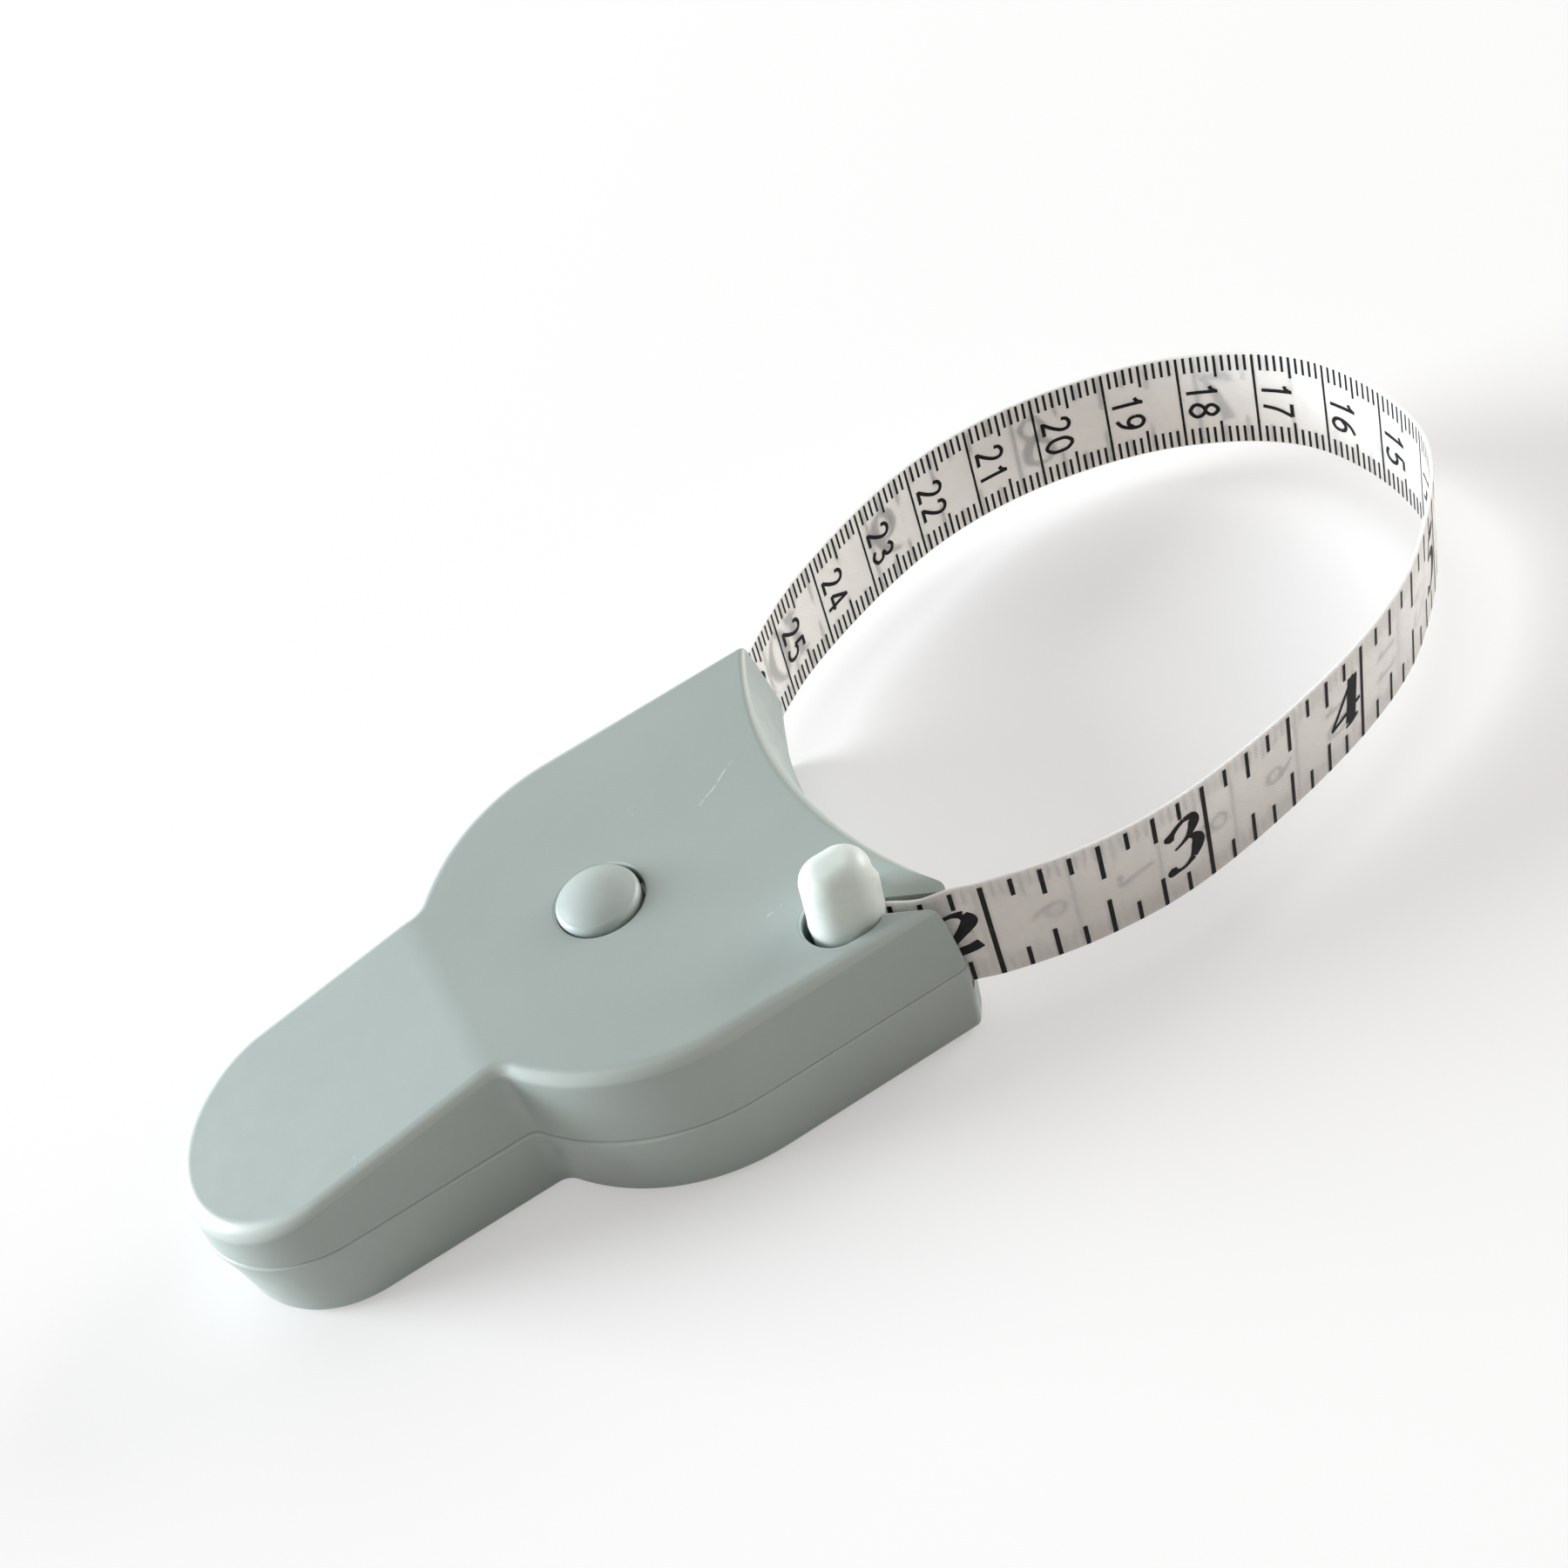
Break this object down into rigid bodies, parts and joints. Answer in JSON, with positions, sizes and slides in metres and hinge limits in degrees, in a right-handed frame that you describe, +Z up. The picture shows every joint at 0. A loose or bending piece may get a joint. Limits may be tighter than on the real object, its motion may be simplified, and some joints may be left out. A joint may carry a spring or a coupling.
{
  "type": "retractable body tape measure",
  "caption": "Push-button retractable body tape measure: forked moulded case with handle, spring reel, and a free tape loop that a lift-out peg closes.",
  "frame": {"origin": "on the underside of the case, below the axis of the reel and the button", "axes": "+X from the handle to the fork and the tape loop, +Y towards the horn that the tape comes out of, +Z up through the button"},
  "size_m": [0.1686, 0.0742, 0.029],
  "materials": {
    "case_plastic": "satin moulded ABS, pale grey-green",
    "button_plastic": "satin moulded ABS, lighter grey-green",
    "tape_cloth": "glass-fibre cloth with a smooth off-white coating and printed scales",
    "inner_plastic": "plain moulded plastic",
    "steel": "bright spring steel and plated screws",
    "rubber": "matt black"
  },
  "bodies": {
    "case": {"lower_shell": "case_plastic", "upper_shell": "case_plastic", "case_screw_handle": "steel", "case_screw_left": "steel", "case_screw_right": "steel", "spring_arbor": "steel", "guide_pin": "steel", "tape_lead": "tape_cloth", "tape_loop": "tape_cloth"},
    "button": {"release_button": "button_plastic", "brake_ring": "rubber", "button_spring": "steel"},
    "reel": {"reel_hub": "inner_plastic", "reel_cover": "inner_plastic", "tape_roll": "tape_cloth", "tape_anchor": "steel", "mainspring": "steel"},
    "peg": {"end_peg": "button_plastic", "peg_pin": "steel", "tape_end": "tape_cloth"}
  },
  "joints": [
    {"name": "button_press", "type": "slide", "parent": "case", "child": "button", "axis": [0, 0, -1], "range_m": [0, 0.0018], "stiffness_N_per_m": 1500, "springref_m": -0.001, "deforming": ["button_spring"]},
    {"name": "reel_turn", "type": "hinge", "parent": "case", "child": "reel", "pos_m": [0, 0, 0.01065], "axis": [0, 0, -1], "range_deg": [-830, 5060], "deforming": ["mainspring"]},
    {"name": "peg_lift", "type": "slide", "parent": "case", "child": "peg", "axis": [0, 0, 1], "range_m": [0, 0.016]}
  ]
}
